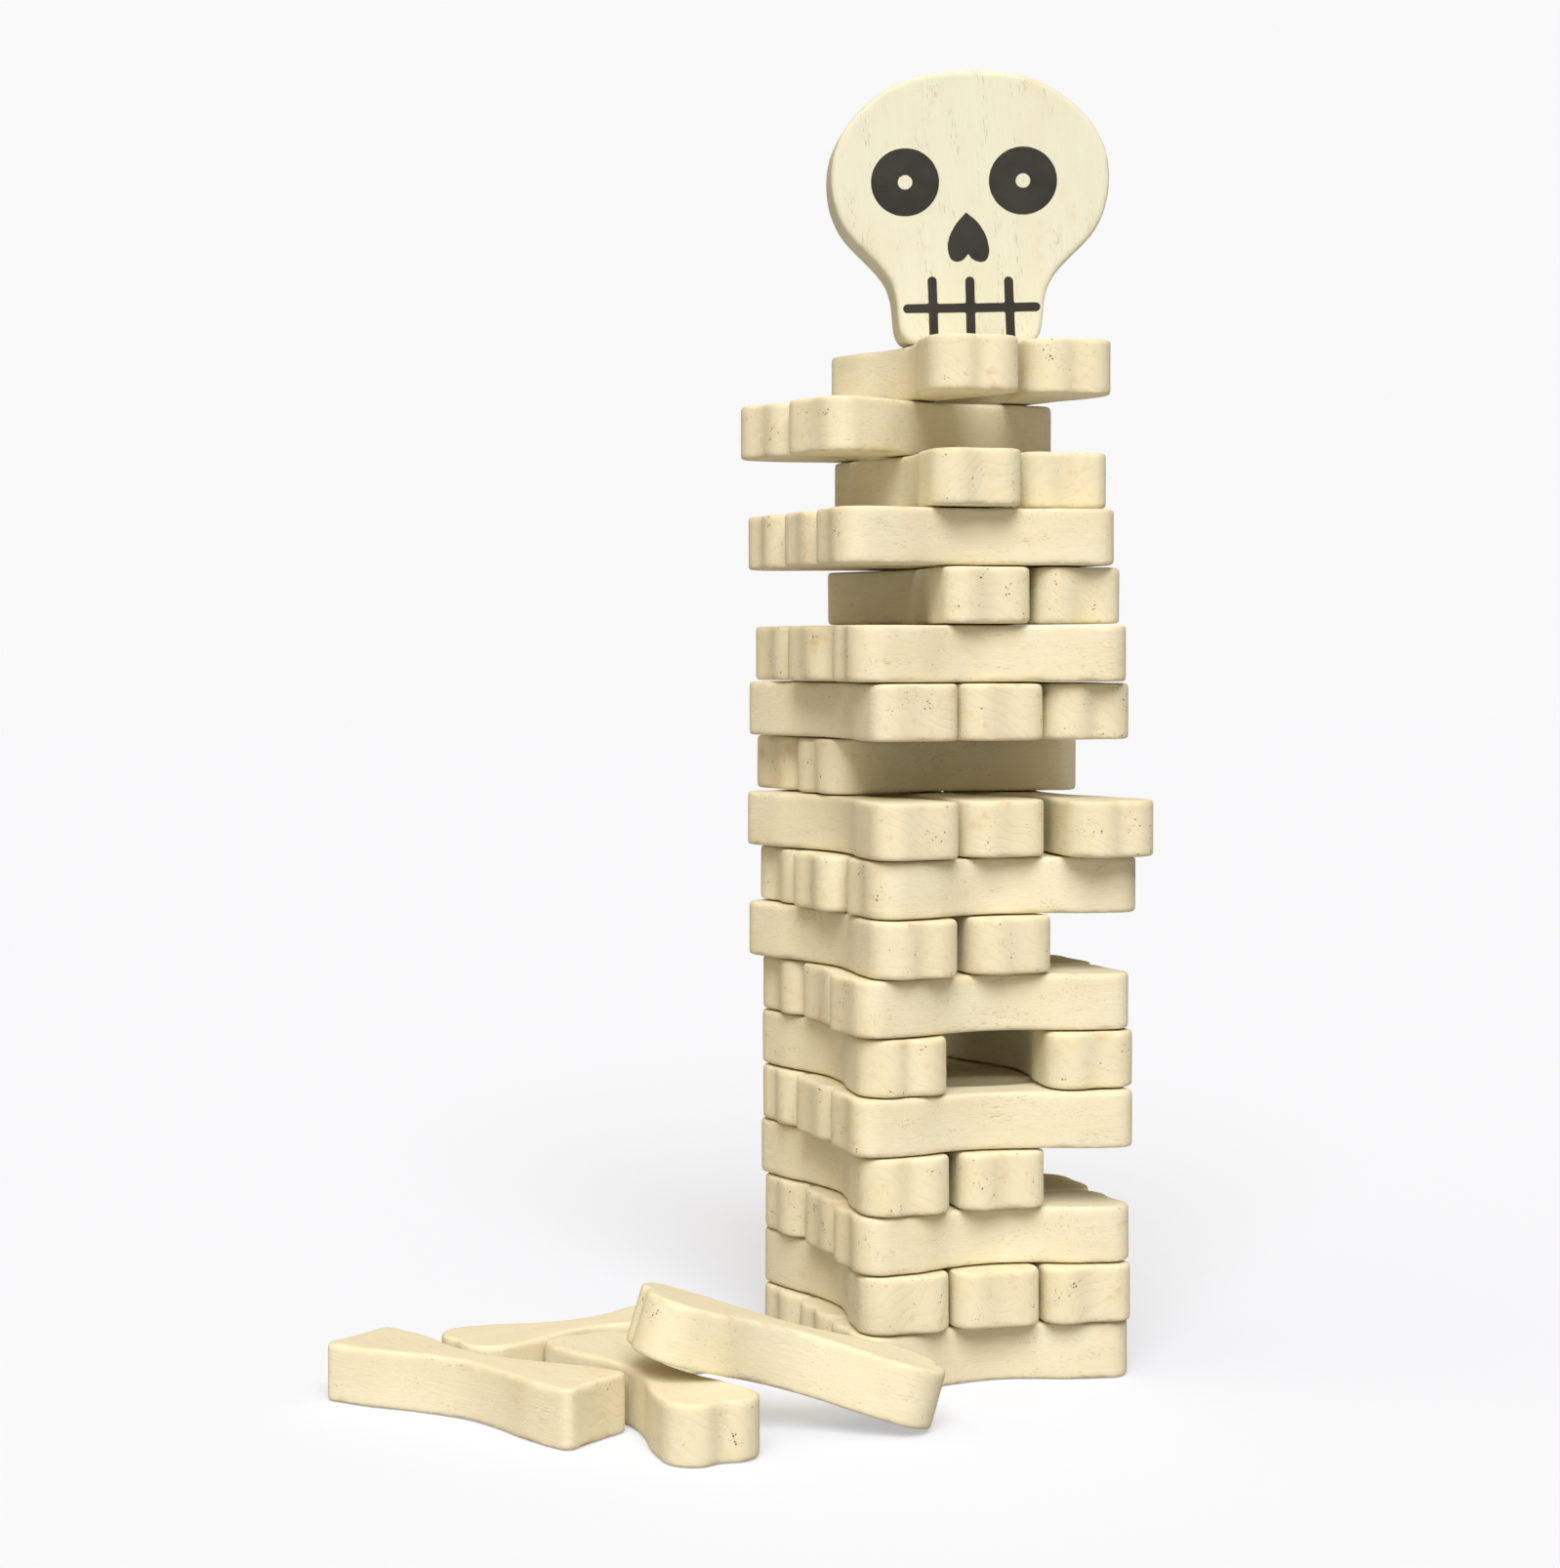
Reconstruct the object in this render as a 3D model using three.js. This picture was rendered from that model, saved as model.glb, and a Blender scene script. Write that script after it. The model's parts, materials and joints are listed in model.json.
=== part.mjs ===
// A tumbling tower: bone-shaped hardwood blocks stacked in crossed courses, with a flat skull on top
// and four drawn bones lying beside it. Millimetres, +Z up. The origin is the centre of the tower's
// footprint on the ground, +X runs along the bones of the odd courses, and -Y is the front.

import * as THREE from "three";

// ---- driving dimensions -------------------------------------------------------------------------

const COURSE_PITCH = 15;      // height from one course to the next
const COURSE_GAP = 0.3;       // air between two courses
const BONE_HEIGHT = COURSE_PITCH - COURSE_GAP;
const BONE_LENGTH = 77;
const BONE_WIDTH = 24.8;      // across the lobes
const BONE_WAIST = 6.5;       // how far each long side curves in at mid-length
const BONE_NOTCH = 0.7;       // how far each end curves in between its two lobes
const LOBE_RADIUS = 6.5;
const SLOT_PITCH = 25.1;      // from one bone of a course to the next

const SKULL_HEIGHT = 73.7;
const SKULL_HALF_WIDTH = 37.3;
const JAW_HALF_WIDTH = 19.3;
const SKULL_THICKNESS = 15;
const SKULL_TURN = -17;       // degrees; the face looks a little to the left of the front
const SKULL_PLACE = { x: 11.2, y: 5.5 };

const CURVE_STEPS = 3;        // straight steps along each curve of a bone; an arc takes twice as many
const SKULL_CURVE_STEPS = 5;

// ---- finish ---------------------------------------------------------------------------------------

const ivoryWood = new THREE.MeshStandardMaterial({ color: 0xeadfba, roughness: 0.72, metalness: 0 });
const skullWood = new THREE.MeshStandardMaterial({ color: 0xf1eacb, roughness: 0.7, metalness: 0 });

// ---- shapes ---------------------------------------------------------------------------------------

// One bone seen from above: a lobe at each corner, a shallow notch in each end and a long
// waist in each side. Each end has its own notch and lobe size, as hand-sawn pieces do.
function boneOutline({ length, width, waist, notch, lobe }) {
  const endX = length / 2;
  const sideY = width / 2;
  const lobeX = endX - lobe;
  const lobeY = sideY - lobe;
  const outline = new THREE.Shape();
  outline.moveTo(endX - notch, 0);
  for (const end of [1, -1]) {
    // the arc turns through the lobe on the way from one face to the next
    const startAngle = end > 0 ? 0 : Math.PI;
    outline.bezierCurveTo(
      end * (endX - notch), end * lobeY * 0.4, end * endX, end * lobeY * 0.6,
      end * endX, end * lobeY);
    outline.absarc(end * lobeX, end * lobeY, lobe, startAngle, startAngle + Math.PI / 2, false);
    outline.bezierCurveTo(
      end * lobeX * 0.62, end * sideY, end * lobeX * 0.42, end * (sideY - waist),
      0, end * (sideY - waist));
    outline.bezierCurveTo(
      -end * lobeX * 0.42, end * (sideY - waist), -end * lobeX * 0.62, end * sideY,
      -end * lobeX, end * sideY);
    outline.absarc(-end * lobeX, end * lobeY, lobe, startAngle + Math.PI / 2, startAngle + Math.PI, false);
    outline.bezierCurveTo(
      -end * endX, end * lobeY * 0.6, -end * (endX - notch), end * lobeY * 0.4,
      -end * (endX - notch), 0);
  }
  return outline;
}

// Hand-sawn pieces differ a little. The n-th bone takes its differences from a slow cycle, so that no
// two neighbours are alike: each value stays within one step either side of the nominal size.
function boneSizes(n) {
  const drift = (period) => Math.sin((2 * Math.PI * n) / period);
  return {
    length: BONE_LENGTH + 0.7 * drift(3.7),
    width: BONE_WIDTH - 0.3 + 0.3 * drift(5.3),
    waist: BONE_WAIST + 0.6 * drift(2.9),
    notch: BONE_NOTCH + 0.4 * drift(4.3),
    lobe: LOBE_RADIUS + 1.1 * drift(6.1),
  };
}

// ---- the stack, from the ground up ----------------------------------------------------------------

// A course lies along x or y. twist turns it about the tower's axis and x, y shift it, as play has
// left it. Each bone has its slot (-1 front or left, 0 middle, 1 rear or right), how far it has been
// pushed along its own length, how far it has crept sideways, and a turn of its own, in degrees.
const COURSES = [
  { along: "x", twist: 0, x: 0, y: 0, bones: [
    { slot: -1, push: 0.5 }, { slot: 0, push: 2 }, { slot: 1, push: 1.5 }] },
  { along: "y", twist: 0, x: 1, y: 0, bones: [
    { slot: -1, push: 0 }, { slot: 0, push: 0.6 }, { slot: 1, push: -0.8 }] },
  { along: "x", twist: 0, x: 1, y: 0, bones: [
    { slot: -1, push: 0, turn: -0.5 }, { slot: 0, push: 2 }, { slot: 1, push: 1 }] },
  { along: "y", twist: 1, x: 0.5, y: 0.5, bones: [
    { slot: -1, push: 0 }, { slot: 0, push: 0.8, across: 2 }] },
  { along: "x", twist: 0, x: 1, y: 0, bones: [
    { slot: -1, push: -1, across: -2, turn: -2.5 }, { slot: 0, push: 0.5 }, { slot: 1, push: 0 }] },
  { along: "y", twist: 1, x: 0.5, y: 0.8, bones: [
    { slot: -1, push: 0 }, { slot: 1, push: -0.6, across: 2 }] },
  { along: "x", twist: 1, x: 1, y: 0, bones: [
    { slot: -1, push: -1 }, { slot: 0, push: 2 }, { slot: 1, push: 0.5 }] },
  { along: "y", twist: 4, x: 0, y: 0, bones: [
    { slot: -1, push: 0, across: -1, turn: 3 }, { slot: 0, push: 2, across: 4 }] },
  { along: "x", twist: 2, x: 2, y: 0, bones: [
    { slot: -1, push: 1 }, { slot: 0, push: -2 }, { slot: 1, push: 0 }] },
  { along: "y", twist: 4, x: 0, y: 0, bones: [
    { slot: -1, push: 0, across: -1, turn: 3 }, { slot: 0, push: 2.5, across: 2.5 },
    { slot: 1, push: -8, across: 3, turn: 1 }] },
  { along: "x", twist: 4.5, x: 5.5, y: 11.5, bones: [
    { slot: 0, push: 0 }, { slot: 1, push: 0 }] },
  { along: "y", twist: 4, x: 0.5, y: 0, bones: [
    { slot: -1, push: 0.5, across: -1.2, turn: 2 }, { slot: 0, push: 2, across: 0.5 },
    { slot: 1, push: 1, across: 0.8 }] },
  { along: "x", twist: 1, x: 0, y: 0, bones: [
    { slot: -1, push: -1, across: -2, turn: -3 }, { slot: 0, push: -2 }, { slot: 1, push: 0 }] },
  { along: "y", twist: 3, x: -3, y: 0, bones: [
    { slot: 0, push: 1 }, { slot: 1, push: 0, across: 1.2 }] },
  { along: "x", twist: 1, x: -3, y: 0, bones: [
    { slot: -1, push: -2, across: -2, turn: -3 }, { slot: 0, push: 0.5 }, { slot: 1, push: 0 }] },
  { along: "y", twist: -1, x: -5, y: 0, bones: [
    { slot: 0, push: -3 }, { slot: 1, push: 7, across: 3.5 }] },
  { along: "x", twist: 16, x: -1, y: 7.5, bones: [
    { slot: 0, push: 0 }, { slot: 1, push: 2 }] },
  { along: "y", twist: 0.5, x: -1.8, y: 6, bones: [
    { slot: 0, push: 0 }, { slot: 1, push: 4, across: 3.5 }] },
];

const SLOT_NAMES = {
  x: { "-1": "front", 0: "middle", 1: "rear" },
  y: { "-1": "left", 0: "middle", 1: "right" },
};

// ---- the model ------------------------------------------------------------------------------------

const tower = new THREE.Group();

// A bone as an upright slab, lying along x with its underside on its own group's ground. ownSizes
// takes the place of any of the sizes the cycle would give it.
let bonesMade = 0;
function addBone(parent, name, ownSizes = {}) {
  const sizes = { ...boneSizes(bonesMade), ...ownSizes };
  const geometry = new THREE.ExtrudeGeometry(boneOutline(sizes), {
    depth: BONE_HEIGHT, bevelEnabled: false, curveSegments: CURVE_STEPS,
  });
  bonesMade += 1;
  const bone = new THREE.Mesh(geometry, ivoryWood);
  bone.name = name;
  parent.add(bone);
  return bone;
}

COURSES.forEach((course, index) => {
  const level = new THREE.Group();
  level.position.set(course.x, course.y, index * COURSE_PITCH);
  const quarterTurn = course.along === "y" ? Math.PI / 2 : 0;
  level.rotation.z = quarterTurn + THREE.MathUtils.degToRad(course.twist);
  tower.add(level);
  for (const { slot, push = 0, across = 0, turn = 0 } of course.bones) {
    const number = String(index + 1).padStart(2, "0");
    const bone = addBone(level, `course_${number}_${SLOT_NAMES[course.along][slot]}_bone`);
    // along y, the course's own side axis points to the left, so left and right change places
    const side = (course.along === "y" ? -1 : 1) * (slot * SLOT_PITCH + across);
    bone.position.set(push, side, 0);
    bone.rotation.z = THREE.MathUtils.degToRad(turn);
  }
});

// ---- the skull topper -----------------------------------------------------------------------------

// The outline of a flat sawn skull, standing on its chin: a flat-cornered jaw, a hollow under each
// cheek and a broad dome. x is across the face and y is up. The right half is drawn upwards from the
// chin and the left half mirrors it.
function skullOutline() {
  const chinX = JAW_HALF_WIDTH - 4.8;
  const jawTop = SKULL_HEIGHT * 0.23;
  const cheek = { x: SKULL_HALF_WIDTH * 0.83, y: SKULL_HEIGHT * 0.375 };
  const temple = { x: SKULL_HALF_WIDTH, y: SKULL_HEIGHT * 0.61 };
  const brow = { x: SKULL_HALF_WIDTH * 0.73, y: SKULL_HEIGHT * 0.885 };
  const half = [
    [chinX + 3.6, 0.4, JAW_HALF_WIDTH - 0.4, 2.6, JAW_HALF_WIDTH, 6],
    [JAW_HALF_WIDTH + 0.5, 10, JAW_HALF_WIDTH + 0.3, 13.5, JAW_HALF_WIDTH + 2.2, jawTop],
    [JAW_HALF_WIDTH + 4.2, jawTop + 3.6, cheek.x - 3.6, cheek.y - 3.7, cheek.x, cheek.y],
    [cheek.x + 4.2, cheek.y + 4.4, temple.x, temple.y - 7, temple.x, temple.y],
    [temple.x, temple.y + 8.5, brow.x + 6.4, brow.y - 5.6, brow.x, brow.y],
    [brow.x - 6.6, brow.y + 5.8, 13, SKULL_HEIGHT, 0, SKULL_HEIGHT],
  ];
  const outline = new THREE.Shape();
  outline.moveTo(chinX, 0);
  for (const curve of half) outline.bezierCurveTo(...curve);
  // back down the left side: each curve in reverse order, mirrored
  const starts = [[chinX, 0], ...half.map((curve) => curve.slice(4))];
  for (let i = half.length - 1; i >= 0; i -= 1) {
    const [c1x, c1y, c2x, c2y] = half[i];
    const [endX, endY] = starts[i];
    outline.bezierCurveTo(-c2x, c2y, -c1x, c1y, -endX, endY);
  }
  outline.closePath();
  return outline;
}

const skullGeometry = new THREE.ExtrudeGeometry(skullOutline(), {
  depth: SKULL_THICKNESS, bevelEnabled: false, curveSegments: SKULL_CURVE_STEPS,
});
skullGeometry.translate(0, 0, -SKULL_THICKNESS / 2);
skullGeometry.rotateX(Math.PI / 2);   // stand it up, its face to the front
const skull = new THREE.Mesh(skullGeometry, skullWood);
skull.name = "skull_topper";
skull.position.set(SKULL_PLACE.x, SKULL_PLACE.y, COURSES.length * COURSE_PITCH);
skull.rotation.z = THREE.MathUtils.degToRad(SKULL_TURN);
tower.add(skull);

// ---- the drawn bones on the ground ----------------------------------------------------------------

// Three lie flat. The fourth leans: its left end rests on the third bone and its right end is down.
// Their own sizes: the first has nearly square corners, the fourth well rounded ones.
const LEAN_ANGLE = 16.2;
const LEAN_CLEARANCE = 0.35;
const LOOSE_BONES = [
  { name: "loose_front_bone", x: -136.4, y: -26.8, turn: -54.8,
    sizes: { length: 77.4, lobe: 2.6, waist: 7.1 } },
  { name: "loose_back_bone", x: -99.2, y: 0.6, turn: 14,
    sizes: { length: 77, lobe: 8, waist: 7 } },
  { name: "loose_under_bone", x: -98.2, y: -47.6, turn: -81.6,
    sizes: { length: 76.7, lobe: 7.5, waist: 7 } },
  { name: "loose_leaning_bone", x: -69.6, y: -60.2, turn: -8.4, lean: LEAN_ANGLE,
    sizes: { length: 76.4, lobe: 9.5, waist: 6.8 } },
];

for (const { name, x, y, turn, lean = 0, sizes } of LOOSE_BONES) {
  const spot = new THREE.Group();
  const tilt = THREE.MathUtils.degToRad(lean);
  const lift = lean ? (sizes.length / 2) * Math.sin(tilt) + LEAN_CLEARANCE : 0;
  spot.position.set(x, y, lift);
  spot.rotation.z = THREE.MathUtils.degToRad(turn);
  tower.add(spot);
  addBone(spot, name, sizes).rotation.y = tilt;
}

export default tower;
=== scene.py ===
# A tumbling tower of bone-shaped hardwood blocks, with a flat wooden skull standing on top and four
# drawn bones lying beside it. Metres, +Z up, -Y to the front; the tower's footprint is centred on
# the origin.

import json
import math

import bmesh
import bpy
from mathutils import Matrix, Vector, noise
from mathutils.geometry import interpolate_bezier


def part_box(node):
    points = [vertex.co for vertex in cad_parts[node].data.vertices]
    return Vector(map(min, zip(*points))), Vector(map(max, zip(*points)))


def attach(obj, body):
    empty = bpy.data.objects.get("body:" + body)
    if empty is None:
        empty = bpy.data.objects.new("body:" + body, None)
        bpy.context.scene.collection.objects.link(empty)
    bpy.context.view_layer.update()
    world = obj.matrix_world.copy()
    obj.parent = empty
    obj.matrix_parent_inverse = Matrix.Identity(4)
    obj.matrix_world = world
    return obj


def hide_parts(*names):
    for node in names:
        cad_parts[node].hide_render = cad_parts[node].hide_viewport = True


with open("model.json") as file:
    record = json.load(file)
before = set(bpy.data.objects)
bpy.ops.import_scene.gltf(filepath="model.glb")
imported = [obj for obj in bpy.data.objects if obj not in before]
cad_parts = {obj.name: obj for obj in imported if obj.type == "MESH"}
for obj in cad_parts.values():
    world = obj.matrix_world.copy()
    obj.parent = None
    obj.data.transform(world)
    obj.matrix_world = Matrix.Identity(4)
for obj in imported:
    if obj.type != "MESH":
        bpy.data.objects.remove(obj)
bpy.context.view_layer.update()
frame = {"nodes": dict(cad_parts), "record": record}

MM = 0.001

# ---- the table and the light ------------------------------------------------------------------------
# A seamless white table top. One large soft lamp stands behind the viewer at half height, and a wide
# warm-white screen on the left fills the sides, so the joints and hollows of the stack go dark.

TABLE_REACH = 6.0
ROOM_WHITE = 0.946
TABLE_GLOW = 0.445              # light coming through the table top
TABLE_SHEEN = (0.42, 0.442, 0.505)  # bluer than the lamps, so that shadows stay grey
TABLE_BOUNCE = 0.42             # how much of the light the table throws back up
LOOK_TURN = math.radians(-16.1)     # the camera looks a little to the right of straight ahead
KEY_STRENGTH = 3.05
KEY_SPREAD = math.radians(38)
KEY_HEIGHT = math.radians(47)
KEY_SIDE = math.radians(-3)         # to the left of the viewer
SCREEN_STRENGTH = 0.78
SCREEN_HEIGHT = math.radians(52)
SCREEN_SIDE = math.radians(-32)
SCREEN_WARMTH = (1.0, 0.845, 0.615)


def add_node(tree, kind, inputs=(), **settings):
    """A shader node. inputs is a dict of socket: value or socket to link from."""
    made = tree.nodes.new(kind)
    for name, value in settings.items():
        setattr(made, name, value)
    for name, value in dict(inputs).items():
        if isinstance(value, bpy.types.NodeSocket):
            tree.links.new(value, made.inputs[name])
        else:
            made.inputs[name].default_value = value
    return made


def calc(tree, operation, *values):
    """A Math node's result from one to three values or sockets."""
    made = add_node(tree, "ShaderNodeMath", operation=operation)
    for slot, value in enumerate(values):
        if isinstance(value, bpy.types.NodeSocket):
            tree.links.new(value, made.inputs[slot])
        else:
            made.inputs[slot].default_value = value
    return made.outputs["Value"]


def ramp(tree, value, low, high):
    """0 below low, 1 above high, eased between."""
    made = add_node(tree, "ShaderNodeMapRange",
                    {"Value": value, "From Min": low, "From Max": high},
                    interpolation_type="SMOOTHSTEP")
    return made.outputs["Result"]


def towards(side, height):
    """The direction of a light at an angle to the right of the viewer and above the table."""
    turned = LOOK_TURN + side
    flat = math.cos(height)
    return (math.sin(turned) * flat, -math.cos(turned) * flat, math.sin(height))


world = bpy.data.worlds.new("white room")
bpy.context.scene.world = world
world.use_nodes = True
room = world.node_tree
room.nodes.clear()
way_out = add_node(room, "ShaderNodeTexCoord").outputs["Generated"]
to_screen = add_node(room, "ShaderNodeVectorMath", {0: way_out, 1: towards(SCREEN_SIDE, SCREEN_HEIGHT)},
                     operation="DOT_PRODUCT").outputs["Value"]
screen = calc(room, "MULTIPLY", ramp(room, to_screen, -0.05, 0.9), SCREEN_STRENGTH)
fill = add_node(room, "ShaderNodeBackground", {"Color": (*SCREEN_WARMTH, 1), "Strength": screen})
seen = add_node(room, "ShaderNodeBackground", {"Color": (ROOM_WHITE, ROOM_WHITE, ROOM_WHITE, 1)})
ray = add_node(room, "ShaderNodeLightPath")
either = add_node(room, "ShaderNodeMixShader", {"Fac": ray.outputs["Is Camera Ray"]})
room.links.new(fill.outputs["Background"], either.inputs[1])
room.links.new(seen.outputs["Background"], either.inputs[2])
add_node(room, "ShaderNodeOutputWorld", {"Surface": either.outputs["Shader"]})

table_white = bpy.data.materials.new("table white")
table_white.use_nodes = True
top = table_white.node_tree
sheen = top.nodes["Principled BSDF"]
sheen.inputs["Base Color"].default_value = (*TABLE_SHEEN, 1)
sheen.inputs["Roughness"].default_value = 0.9
sheen.inputs["Specular IOR Level"].default_value = 0.0
sheen.inputs["Emission Color"].default_value = (1, 1, 1, 1)
sheen.inputs["Emission Strength"].default_value = TABLE_GLOW
bounce = add_node(top, "ShaderNodeBsdfDiffuse", {"Color": (TABLE_BOUNCE, TABLE_BOUNCE, TABLE_BOUNCE, 1)})
ray = add_node(top, "ShaderNodeLightPath")
either = add_node(top, "ShaderNodeMixShader", {"Fac": ray.outputs["Is Camera Ray"]})
top.links.new(bounce.outputs["BSDF"], either.inputs[1])
top.links.new(sheen.outputs["BSDF"], either.inputs[2])
top.links.new(either.outputs["Shader"], top.nodes["Material Output"].inputs["Surface"])
sheet = bmesh.new()
bmesh.ops.create_grid(sheet, x_segments=1, y_segments=1, size=TABLE_REACH)
table_mesh = bpy.data.meshes.new("table")
sheet.to_mesh(table_mesh)
sheet.free()
table_mesh.materials.append(table_white)
table = bpy.data.objects.new("table", table_mesh)
bpy.context.scene.collection.objects.link(table)

camera_data = bpy.data.cameras.new("camera")
camera_data.sensor_fit = "HORIZONTAL"
camera_data.sensor_width = 36
camera_data.lens = 67.83
camera_data.shift_x = 0.187
camera_data.shift_y = -0.0875
camera_data.clip_start = 0.01
camera = bpy.data.objects.new("camera", camera_data)
camera.location = (-0.3333, -0.7220, 0.1889)
camera.rotation_euler = (math.radians(90), 0, LOOK_TURN)
bpy.context.scene.collection.objects.link(camera)
bpy.context.scene.camera = camera

key_data = bpy.data.lights.new("key", "SUN")
key_data.energy = KEY_STRENGTH
key_data.angle = KEY_SPREAD
key = bpy.data.objects.new("key", key_data)
key.rotation_euler = (math.pi / 2 - KEY_HEIGHT, 0, LOOK_TURN + KEY_SIDE)
bpy.context.scene.collection.objects.link(key)
bpy.context.scene.view_settings.view_transform = "Standard"

# ---- the stained wood ---------------------------------------------------------------------------------
# Pale hardwood under a thin matt ivory stain, which leaves the grain, the open pores of the sawn
# ends and some brown specks to be seen. Every block carries its own grain coordinates.


def start_group(name, inputs, outputs):
    """A node group with the named float or vector inputs and outputs; returns its two ends."""
    group = bpy.data.node_groups.new(name, "ShaderNodeTree")
    for label, value in inputs.items():
        kind = "NodeSocketVector" if value is None else "NodeSocketFloat"
        socket = group.interface.new_socket(label, in_out="INPUT", socket_type=kind)
        if value is not None:
            socket.default_value = value
    for label in outputs:
        group.interface.new_socket(label, in_out="OUTPUT", socket_type="NodeSocketFloat")
    start = group.nodes.new("NodeGroupInput")
    end = group.nodes.new("NodeGroupOutput")
    return group, start.outputs, end.inputs


def stretched_noise(tree, place, along, across, detail=2.0, roughness=0.5):
    """Noise whose grains are along metres long on x and across metres wide on y and z."""
    size = (1 / along, 1 / across, 1 / across)
    turned = add_node(tree, "ShaderNodeMapping", {"Vector": place, "Scale": size})
    made = add_node(tree, "ShaderNodeTexNoise",
                    {"Vector": turned.outputs["Vector"], "Scale": 1.0, "Detail": detail,
                     "Roughness": roughness})
    return made.outputs["Fac"]


# Streaks that follow the grain, the short open pores between them, and cloudy patches.
grain, at, out = start_group(
    "long grain", {"Place": None}, ["Streaks", "Pores", "Clouds", "Blotches"])
place = at["Place"]
streaks = stretched_noise(grain, place, 22 * MM, 0.5 * MM, detail=3.0, roughness=0.65)
grain.links.new(ramp(grain, streaks, 0.3, 0.7), out["Streaks"])
clouds = stretched_noise(grain, place, 26 * MM, 11 * MM, detail=2.0)
grain.links.new(ramp(grain, clouds, 0.3, 0.72), out["Clouds"])
blotches = stretched_noise(grain, place, 9 * MM, 5 * MM, detail=4.0, roughness=0.6)
grain.links.new(ramp(grain, blotches, 0.56, 0.78), out["Blotches"])
dashes = stretched_noise(grain, place, 2.2 * MM, 0.24 * MM, detail=1.0)
porous = stretched_noise(grain, place, 16 * MM, 3.2 * MM, detail=2.0)
pores = calc(grain, "MULTIPLY", ramp(grain, dashes, 0.62, 0.72), ramp(grain, porous, 0.5, 0.66))
grain.links.new(pores, out["Pores"])

# The sawn ends: growth rings cut across, and clusters of pits and brown specks.
ends, at, out = start_group(
    "sawn end", {"Place": None, "Ring Pitch": 3.4 * MM}, ["Rings", "Pits", "Specks"])
place = at["Place"]
RING_TILT = (0.0, 0.55, 0.83)
across = add_node(ends, "ShaderNodeVectorMath", {0: place, 1: RING_TILT}, operation="DOT_PRODUCT")
bend = stretched_noise(ends, place, 30 * MM, 13 * MM, detail=1.0)
turns = calc(ends, "DIVIDE", across.outputs["Value"], at["Ring Pitch"])
turns = calc(ends, "MULTIPLY_ADD", bend, 5.0, turns)
rings = calc(ends, "SINE", calc(ends, "MULTIPLY", turns, 2 * math.pi))
ends.links.new(ramp(ends, rings, 0.35, 1.0), out["Rings"])
cells = add_node(ends, "ShaderNodeTexVoronoi", {"Vector": place, "Scale": 1 / (0.85 * MM)})
cell_draw = add_node(ends, "ShaderNodeSeparateColor", {"Color": cells.outputs["Color"]})
size_of_pit = calc(ends, "MULTIPLY", cell_draw.outputs["Red"], 0.34)
pit = calc(ends, "SUBTRACT", size_of_pit, cells.outputs["Distance"])
patch = stretched_noise(ends, place, 9 * MM, 6 * MM, detail=3.0, roughness=0.6)
pits = calc(ends, "MULTIPLY", ramp(ends, pit, -0.02, 0.06), ramp(ends, patch, 0.555, 0.64))
ends.links.new(pits, out["Pits"])
specks = stretched_noise(ends, place, 0.5 * MM, 0.42 * MM, detail=2.0, roughness=0.7)
specks = calc(ends, "MULTIPLY", ramp(ends, specks, 0.6, 0.7), ramp(ends, patch, 0.54, 0.64))
ends.links.new(specks, out["Specks"])


def colour(red, green, blue):
    """A paint colour given the way a colour card gives it, 0 to 255."""
    def linear(value):
        share = value / 255
        return share / 12.92 if share <= 0.04045 else ((share + 0.055) / 1.055) ** 2.4
    return (linear(red), linear(green), linear(blue), 1.0)


def tint(tree, under, over, amount):
    """The colour under, with amount (0 to 1, a value or a socket) of the colour over on it."""
    made = add_node(tree, "ShaderNodeMix", {"Factor": amount}, data_type="RGBA")
    for socket, value in ((made.inputs[6], under), (made.inputs[7], over)):
        if isinstance(value, bpy.types.NodeSocket):
            tree.links.new(value, socket)
        else:
            socket.default_value = value
    return made.outputs[2]


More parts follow.
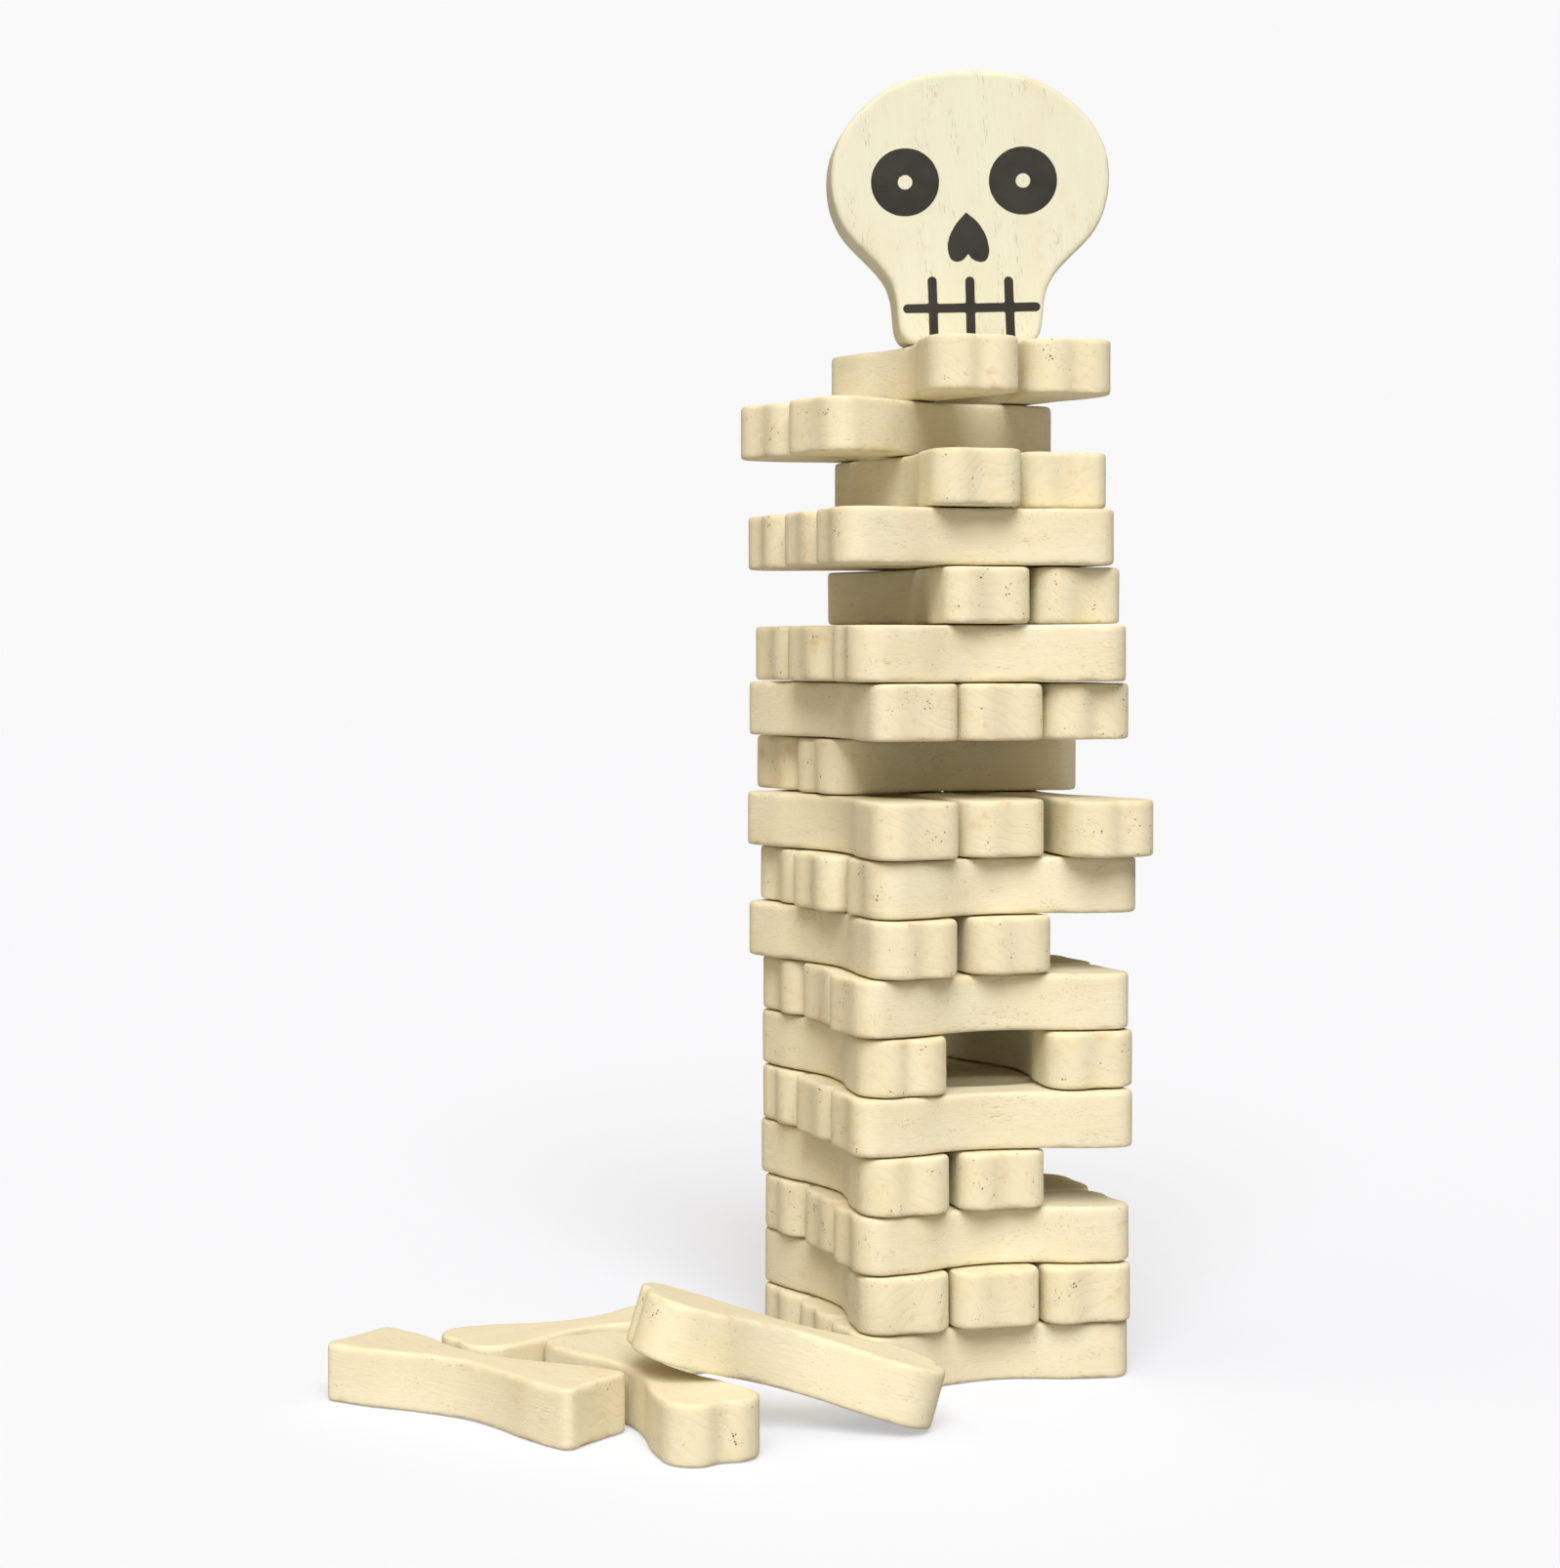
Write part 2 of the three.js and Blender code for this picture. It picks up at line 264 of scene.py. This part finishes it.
def stained_wood(name, stain, pale, shade, blush, speck, pit_share=1.0):
    """Ivory stain over wood. Reads the block's own grain place and which way its surface faces."""
    material = bpy.data.materials.new(name)
    material.use_nodes = True
    tree = material.node_tree
    place = add_node(tree, "ShaderNodeAttribute", attribute_name="grain").outputs["Vector"]
    way = add_node(tree, "ShaderNodeAttribute", attribute_name="facing").outputs["Vector"]
    facing = add_node(tree, "ShaderNodeSeparateXYZ", {"Vector": way}).outputs
    along_cut = ramp(tree, calc(tree, "ABSOLUTE", facing["X"]), 0.55, 0.85)
    long_cut = calc(tree, "SUBTRACT", 1.0, along_cut)
    flat = calc(tree, "MULTIPLY", facing["Z"], facing["Z"])
    rim = calc(tree, "MULTIPLY", calc(tree, "MULTIPLY", flat, 4.0), calc(tree, "SUBTRACT", 1.0, flat))

    long_grain = add_node(tree, "ShaderNodeGroup", node_tree=grain)
    tree.links.new(place, long_grain.inputs["Place"])
    sawn_end = add_node(tree, "ShaderNodeGroup", node_tree=ends)
    tree.links.new(place, sawn_end.inputs["Place"])
    long_out, end_out = long_grain.outputs, sawn_end.outputs

    streaks = calc(tree, "MULTIPLY", long_out["Streaks"], calc(tree, "MULTIPLY_ADD", long_cut, 0.3, 0.15))
    rings = calc(tree, "MULTIPLY", end_out["Rings"], calc(tree, "MULTIPLY_ADD", along_cut, 0.16, 0.05))
    pits = calc(tree, "MULTIPLY", end_out["Pits"], calc(tree, "MULTIPLY_ADD", along_cut, 0.85, 0.15))
    pits = calc(tree, "MULTIPLY", pits, pit_share)
    specks = calc(tree, "MULTIPLY", end_out["Specks"], calc(tree, "MULTIPLY_ADD", along_cut, 0.5, 0.08))
    specks = calc(tree, "MULTIPLY", specks, pit_share)
    pores = calc(tree, "MULTIPLY", long_out["Pores"], calc(tree, "MULTIPLY_ADD", long_cut, 0.35, 0.05))
    worn = calc(tree, "MULTIPLY", rim, calc(tree, "MULTIPLY_ADD", long_out["Blotches"], 0.45, 0.12))

    shown = tint(tree, stain, pale, streaks)
    shown = tint(tree, shown, shade, calc(tree, "MULTIPLY", long_out["Clouds"], 0.4))
    shown = tint(tree, shown, shade, rings)
    stained = calc(tree, "MULTIPLY", long_out["Blotches"], calc(tree, "MULTIPLY_ADD", along_cut, 0.35, 0.3))
    shown = tint(tree, shown, blush, stained)
    shown = tint(tree, shown, blush, worn)
    shown = tint(tree, shown, speck, pores)
    shown = tint(tree, shown, speck, specks)
    shown = tint(tree, shown, speck, pits)

    height = calc(tree, "MULTIPLY", long_out["Streaks"], calc(tree, "MULTIPLY", long_cut, 0.02 * MM))
    height = calc(tree, "MULTIPLY_ADD", long_out["Pores"], -0.05 * MM, height)
    height = calc(tree, "MULTIPLY_ADD", pits, -0.16 * MM, height)
    height = calc(tree, "MULTIPLY_ADD", rings, -0.12 * MM, height)
    relief = add_node(tree, "ShaderNodeBump", {"Height": height, "Strength": 1.0, "Distance": 1.0})
    dull = calc(tree, "MULTIPLY_ADD", long_out["Clouds"], 0.12, 0.6)
    dull = calc(tree, "MULTIPLY_ADD", pits, 0.2, dull)
    shader = tree.nodes["Principled BSDF"]
    tree.links.new(shown, shader.inputs["Base Color"])
    tree.links.new(dull, shader.inputs["Roughness"])
    tree.links.new(relief.outputs["Normal"], shader.inputs["Normal"])
    shader.inputs["Specular IOR Level"].default_value = 0.35
    return material


bone_ivory = stained_wood(
    "bone ivory", stain=colour(226, 218, 189), pale=colour(238, 234, 214),
    shade=colour(222, 209, 172), blush=colour(212, 180, 136), speck=colour(112, 80, 48))

# ---- the bones ----------------------------------------------------------------------------------------
# Each is scroll-sawn from a flat board in the shape of a bone, so its sides carry the saw's slight
# upright flutes, and then tumbled until the rims are eased. Nothing joins them: no two wear alike.

BONE_RIM = 0.95 * MM
RIM_CHANGE = 0.4                # a rim is softer here and sharper there, by this share
RIM_GRAIN = 9 * MM              # how far apart softer and sharper places lie
RIM_STEPS = 4
OUTLINE_STEP = 0.7 * MM
MESH_CELL = 0.7 * MM
FLUTE_DEPTH = 0.07 * MM
FLUTE_PITCH = 8 * MM
FACE_DIP = 0.09 * MM
DIP_GRAIN = 14 * MM
RIM_WEAR = 0.4 * MM
WEAR_GRAIN = 5 * MM


def flat_block(node):
    """The frame's solid with its triangles joined up again into the faces they came from."""
    block = bmesh.new()
    block.from_mesh(frame["nodes"][node].data)
    bmesh.ops.remove_doubles(block, verts=block.verts, dist=0.001 * MM)
    bmesh.ops.dissolve_limit(block, angle_limit=math.radians(0.5), verts=block.verts, edges=block.edges)
    return block


def bone_rest(block):
    """Where a bone lies: x along it, z through its thickness, the origin at its middle."""
    cap = max(block.faces, key=lambda face: face.calc_area())
    up = cap.normal.copy() if cap.normal.z > 0 else -cap.normal
    middle = sum((v.co for v in block.verts), Vector()) / len(block.verts)
    first = (Vector((1, 0, 0)) - up * up.x).normalized()
    second = up.cross(first)
    spread = [((v.co - middle).dot(first), (v.co - middle).dot(second)) for v in block.verts]
    turn = 0.5 * math.atan2(2 * sum(a * b for a, b in spread), sum(a * a - b * b for a, b in spread))
    along = first * math.cos(turn) + second * math.sin(turn)
    return Matrix.Translation(middle) @ Matrix((along, up.cross(along), up)).transposed().to_4x4()


def faired(points):
    """A smooth closed curve through the points, in short steps."""
    count = len(points)
    curve = []
    for i in range(count):
        before, start, end, after = (points[(i + step) % count] for step in (-1, 0, 1, 2))
        way_in, way, way_out = start - before, end - start, after - end
        leave = (way_in.normalized() * way.length + way.normalized() * way_in.length).normalized()
        arrive = (way_out.normalized() * way.length + way.normalized() * way_out.length).normalized()
        leave *= min(way.length, 1.5 * way_in.length) / 3
        arrive *= min(way.length, 1.5 * way_out.length) / 3
        steps = max(2, math.ceil(way.length / OUTLINE_STEP))
        curve += interpolate_bezier(start, start + leave, end - arrive, end, steps + 1)[:-1]
    return curve


def sawn_piece(name, block, rim, number):
    """The block as a mesh of even cells, its outline faired and its rims rounded by about rim."""
    block.normal_update()
    cap = max(block.faces, key=lambda face: face.calc_area() * face.normal.z)
    top = cap.calc_center_median().z
    foot = min(v.co.z for v in block.verts)
    outline = faired([Vector((corner.vert.co.x, corner.vert.co.y)) for corner in cap.loops])
    block.free()
    slab = bmesh.new()
    quarter = [math.pi / 2 * step / RIM_STEPS for step in range(RIM_STEPS + 1)]
    rings = []
    for side, angle in [(-1, a) for a in reversed(quarter)] + [(1, a) for a in quarter]:
        ring = []
        for i, point in enumerate(outline):
            along = outline[(i + 1) % len(outline)] - outline[i - 1]
            inward = Vector((-along.y, along.x)).normalized()
            place = Vector((point.x / RIM_GRAIN, point.y / RIM_GRAIN, side + 3.7 * number))
            own_rim = rim * (1 + RIM_CHANGE * noise.noise(place))
            spot = point + inward * own_rim * (1 - math.cos(angle))
            drop = own_rim * (1 - math.sin(angle))
            ring.append(slab.verts.new((spot.x, spot.y, top - drop if side > 0 else foot + drop)))
        rings.append([slab.edges.new((ring[i - 1], ring[i])) for i in range(len(ring))])
    for lower, upper in zip(rings, rings[1:]):
        bmesh.ops.bridge_loops(slab, edges=lower + upper)
    for end_ring in (rings[0], rings[-1]):
        bmesh.ops.contextual_create(slab, geom=end_ring)
    bmesh.ops.recalc_face_normals(slab, faces=slab.faces)
    mesh = bpy.data.meshes.new(name)
    slab.to_mesh(mesh)
    slab.free()
    piece = bpy.data.objects.new(name, mesh)
    bpy.context.scene.collection.objects.link(piece)
    even = piece.modifiers.new("even cells", "REMESH")
    even.mode = "VOXEL"
    even.voxel_size = MESH_CELL
    soft = piece.modifiers.new("soften", "SMOOTH")
    soft.factor = 0.5
    soft.iterations = 1
    made = bpy.data.meshes.new_from_object(piece.evaluated_get(bpy.context.evaluated_depsgraph_get()))
    piece.modifiers.clear()
    piece.data = made
    made.name = name
    bpy.data.meshes.remove(mesh)
    return piece


def hand_wear(piece, number, rest, face_dip=FACE_DIP, flute_depth=FLUTE_DEPTH):
    """Saw flutes, hollows and worn rims, all cut inwards; then the grain, and the piece in its place."""
    mesh = piece.data
    start = Vector((math.sin(number * 1.7) + 1.3 * number, math.cos(number * 2.3), 0.37 * number))
    away = start * 1.7
    surface = [(v.co.copy(), v.normal.copy()) for v in mesh.vertices]
    grains, facings = [], []
    for vertex, (spot, normal) in zip(mesh.vertices, surface):
        side = 1 - abs(normal.z)
        rim = 4 * normal.z ** 2 * (1 - normal.z ** 2)
        sawn = Vector((spot.x / FLUTE_PITCH, spot.y / FLUTE_PITCH, spot.z / (12 * FLUTE_PITCH)))
        flute = noise.noise(sawn + away)
        dip = noise.noise(spot / DIP_GRAIN + away)
        wear = max(0.0, noise.noise(spot / WEAR_GRAIN - away))
        depth = side * flute_depth * (0.6 + flute) + face_dip * (0.7 + dip) + rim * RIM_WEAR * wear
        vertex.co = spot - normal * max(depth, 0.0)
        grains.extend(spot + start)
        facings.extend(normal)
    mesh.attributes.new("grain", "FLOAT_VECTOR", "POINT").data.foreach_set("vector", grains)
    mesh.attributes.new("facing", "FLOAT_VECTOR", "POINT").data.foreach_set("vector", facings)
    mesh.transform(rest)
    mesh.shade_smooth()


body_of = {node: body for body, nodes in frame["record"]["behaviour"]["bodies"].items()
           for node in nodes}
bones = sorted(node for node in frame["nodes"] if node.endswith("_bone"))
for number, node in enumerate(bones):
    block = flat_block(node)
    rest = bone_rest(block)
    block.transform(rest.inverted())
    bone = sawn_piece(node.replace("_bone", "_sawn_bone"), block, BONE_RIM, number)
    hand_wear(bone, number, rest)
    bone.data.materials.append(bone_ivory)
    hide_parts(node)
    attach(bone, body_of[node])

# ---- the skull ----------------------------------------------------------------------------------------
# Sawn from a wider board with the grain upright, sanded flat and given two coats of ivory. It stands
# on its flat chin on the top course and is held by nothing.

SKULL_RIM = 1.0 * MM
SKULL_DIP = 0.05 * MM
SKULL_FLUTE = 0.06 * MM
GRAIN_LEAN = math.radians(5)

low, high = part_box("skull_topper")
block = flat_block("skull_topper")
front = next(face.normal.copy() for face in block.faces
             if face.normal.y < -0.5 and face.calc_area() > (40 * MM) ** 2)
up = Vector((0, 0, 1))
chin = Vector(((low.x + high.x) / 2, (low.y + high.y) / 2, low.z))
# the face as it is drawn on: x to the right, y up, z out of the front, from the middle of the chin
face_place = Matrix.Translation(chin) @ Matrix((up.cross(front), up, front)).transposed().to_4x4()
skull_thick = max((face_place.inverted() @ v.co).z for v in block.verts)
rest = face_place @ Matrix.Rotation(math.pi / 2 + GRAIN_LEAN, 4, "Z")
block.transform(rest.inverted())
skull = sawn_piece("skull_sawn_board", block, SKULL_RIM, len(bones))
hand_wear(skull, len(bones), rest, face_dip=SKULL_DIP, flute_depth=SKULL_FLUTE)
skull.data.materials.append(stained_wood(
    "skull ivory", stain=colour(219, 219, 198), pale=colour(227, 226, 209),
    shade=colour(214, 209, 181), blush=colour(214, 184, 140), speck=colour(150, 118, 80),
    pit_share=0.3))
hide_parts("skull_topper")
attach(skull, "skull_topper")

# ---- the face printed on the skull ----------------------------------------------------------------------
# Matt black paint laid on through a stencil, so its edges are a little ragged and the grain shows
# faintly through it. Each mark is a thin film that is bedded in the wood.

PAINT_BED = 0.3 * MM
PAINT_PROUD = 0.03 * MM
EYE_RADIUS = 9.1 * MM
PUPIL_RADIUS = 1.95 * MM
EYES = {"skull_left_eye_paint": (-17.5 * MM, 43.5 * MM), "skull_right_eye_paint": (14.0 * MM, 43.9 * MM)}
NOSE_OUTLINE = [
    (-1.2, 35.4), (-3.9, 32.4), (-5.6, 29.4), (-6.3, 25.8), (-5.2, 22.3), (-2.3, 22.1), (-0.6, 24.3),
    (0.6, 22.5), (3.9, 21.9), (5.2, 24.5), (4.3, 29.1), (2.0, 32.8)]
MOUTH_LEFT = (-18.0, 9.6)
MOUTH_RIGHT = (18.6, 10.1)
TOOTH_TOP = 18.2
TOOTH_FOOT = 1.0
TEETH = [(-10.3, -9.7), (-0.2, 0.2), (10.1, 10.8)]    # where each bar starts at its top and foot
BAR_WIDTH = 2.42
CORNER_ROUND = 0.45

paint_black = bpy.data.materials.new("stencil black")
paint_black.use_nodes = True
tree = paint_black.node_tree
place = add_node(tree, "ShaderNodeTexCoord").outputs["Object"]
rubbed = add_node(tree, "ShaderNodeTexNoise", {"Vector": place, "Scale": 1 / (1.4 * MM), "Detail": 5.0,
                                               "Roughness": 0.75})
clouded = add_node(tree, "ShaderNodeTexNoise", {"Vector": place, "Scale": 1 / (9 * MM), "Detail": 2.0})
black = tint(tree, colour(40, 38, 34), colour(50, 47, 43), ramp(tree, clouded.outputs["Fac"], 0.35, 0.7))
scuffs = calc(tree, "MULTIPLY", ramp(tree, rubbed.outputs["Fac"], 0.66, 0.74), 0.35)
black = tint(tree, black, colour(104, 100, 92), scuffs)
shader = tree.nodes["Principled BSDF"]
tree.links.new(black, shader.inputs["Base Color"])
tree.links.new(calc(tree, "MULTIPLY_ADD", rubbed.outputs["Fac"], 0.25, 0.5), shader.inputs["Roughness"])
shader.inputs["Specular IOR Level"].default_value = 0.3
film = add_node(tree, "ShaderNodeBump", {"Height": rubbed.outputs["Fac"], "Distance": 0.03 * MM})
tree.links.new(film.outputs["Normal"], shader.inputs["Normal"])


def flat_mark(corners):
    """One flat face through the corners, which are in millimetres on the skull's face."""
    mark = bmesh.new()
    mark.faces.new([mark.verts.new((x * MM, y * MM, 0)) for x, y in corners])
    return mark


def stencilled(name, mark):
    """The flat mark as a film of paint with a ragged edge, on the skull's front."""
    bmesh.ops.subdivide_edges(mark, edges=[e for e in mark.edges if e.calc_length() > 0.8 * MM], cuts=3)
    for vertex in mark.verts:
        ragged = noise.noise_vector(vertex.co / (0.9 * MM)) * 0.05 * MM
        vertex.co += Vector((ragged.x, ragged.y, 0))
    bmesh.ops.recalc_face_normals(mark, faces=mark.faces)
    thick = bmesh.ops.extrude_face_region(mark, geom=mark.faces[:])
    raised = [item for item in thick["geom"] if isinstance(item, bmesh.types.BMVert)]
    bmesh.ops.translate(mark, verts=raised, vec=(0, 0, PAINT_BED + PAINT_PROUD))
    bmesh.ops.translate(mark, verts=mark.verts, vec=(0, 0, skull_thick - PAINT_BED))
    bmesh.ops.recalc_face_normals(mark, faces=mark.faces)
    mark.transform(face_place)
    mesh = bpy.data.meshes.new(name)
    mark.to_mesh(mesh)
    mark.free()
    mesh.materials.append(paint_black)
    painted = bpy.data.objects.new(name, mesh)
    bpy.context.scene.collection.objects.link(painted)
    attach(painted, "skull_topper")


for name, (eye_x, eye_y) in EYES.items():
    eye = bmesh.new()
    spot = Matrix.Translation((eye_x, eye_y, 0))
    for radius in (EYE_RADIUS, PUPIL_RADIUS):
        bmesh.ops.create_circle(eye, segments=96, radius=radius, matrix=spot)
    bmesh.ops.bridge_loops(eye, edges=eye.edges)
    stencilled(name, eye)

nose = flat_mark(NOSE_OUTLINE)
curved = [v for v in nose.verts if abs(v.co.x + 1 * MM) > 0.6 * MM]
for turn in range(2):
    bmesh.ops.bevel(nose, geom=curved, offset=1.3 * MM / (1 + turn), segments=3, profile=0.5,
                    affect="VERTICES", material=-1, clamp_overlap=True)
    curved = [v for v in nose.verts if abs(v.co.x + 1 * MM) > 1.5 * MM]
stencilled("skull_nose_paint", nose)


def mouth_outline():
    """Round the bar and its three uprights, clockwise from the bar's left end."""
    half = BAR_WIDTH / 2
    rise = (MOUTH_RIGHT[1] - MOUTH_LEFT[1]) / (MOUTH_RIGHT[0] - MOUTH_LEFT[0])

    def bar_y(x):
        return MOUTH_LEFT[1] + (x - MOUTH_LEFT[0]) * rise

    def upright_x(tooth, y):
        top, foot = tooth
        return top + (foot - top) * (TOOTH_TOP - y) / (TOOTH_TOP - TOOTH_FOOT)

    corners = [(MOUTH_LEFT[0], bar_y(MOUTH_LEFT[0]) - half), (MOUTH_LEFT[0], bar_y(MOUTH_LEFT[0]) + half)]
    for tooth in TEETH:
        shoulder = bar_y(tooth[0]) + half
        x = upright_x(tooth, shoulder)
        corners += [(x - half, shoulder), (tooth[0] - half, TOOTH_TOP),
                    (tooth[0] + half, TOOTH_TOP), (x + half, shoulder)]
    corners += [(MOUTH_RIGHT[0], MOUTH_RIGHT[1] + half), (MOUTH_RIGHT[0], MOUTH_RIGHT[1] - half)]
    for tooth in reversed(TEETH):
        armpit = bar_y(tooth[0]) - half
        x = upright_x(tooth, armpit)
        corners += [(x + half, armpit), (tooth[1] + half, TOOTH_FOOT),
                    (tooth[1] - half, TOOTH_FOOT), (x - half, armpit)]
    return corners


mouth = flat_mark(mouth_outline())
tips = [v for v in mouth.verts
        if v.co.y > (TOOTH_TOP - 1) * MM or abs(v.co.x) > (MOUTH_RIGHT[0] - 1) * MM]
inner = [v for v in mouth.verts if v not in tips and v.co.y > (TOOTH_FOOT + 1) * MM]
for corners, size in ((tips, BAR_WIDTH * 0.49 * MM), (inner, CORNER_ROUND * MM)):
    bmesh.ops.bevel(mouth, geom=corners, offset=size, segments=5, profile=0.5, affect="VERTICES",
                    material=-1, clamp_overlap=True)
stencilled("skull_mouth_paint", mouth)
